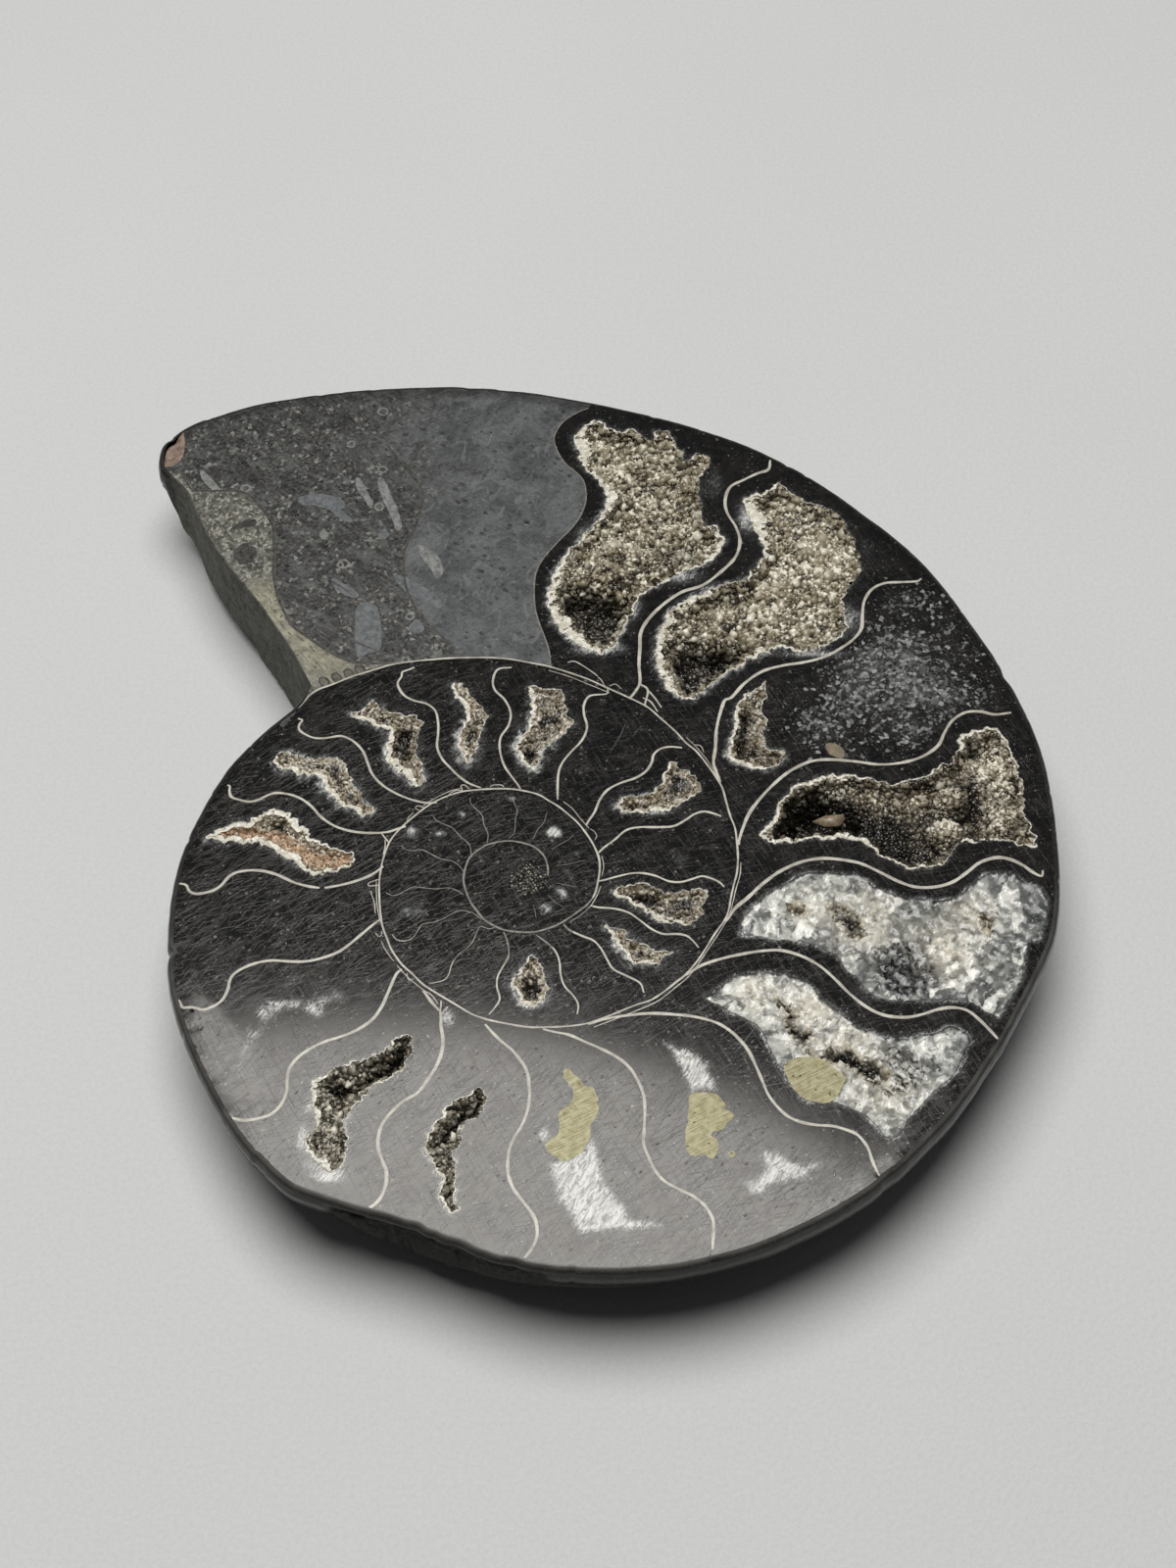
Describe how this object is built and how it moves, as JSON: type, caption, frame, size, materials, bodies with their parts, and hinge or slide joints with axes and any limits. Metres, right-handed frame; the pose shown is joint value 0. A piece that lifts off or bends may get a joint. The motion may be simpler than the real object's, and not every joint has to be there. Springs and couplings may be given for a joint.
{
  "type": "pyritized ammonite half",
  "caption": "Sawn and polished half of a petrified ammonite, lying on its flank, with chambers, septa and crystal-lined hollows on the flat face.",
  "frame": {"origin": "under the middle of the outline, on the surface that the flank rests on", "axes": "+Z out of the polished face; +Y along the longest extent, from the coil's narrow end towards the mouth's side; seen from above the coil winds inwards clockwise from the mouth at the upper left"},
  "size_m": [0.111, 0.1294, 0.0144],
  "materials": {
    "polished_black_stone": "polished near-black stone, matt on the natural flank",
    "septum_shell": "polished cream-grey shell and septum lines",
    "chamber_sediment": "polished speckled grey sediment",
    "calcite_crystal": "sugary cream and white crystals",
    "pyrite": "scratched olive-gold"
  },
  "bodies": {
    "root": {"ammonite_half": "polished_black_stone"}
  },
  "joints": []
}
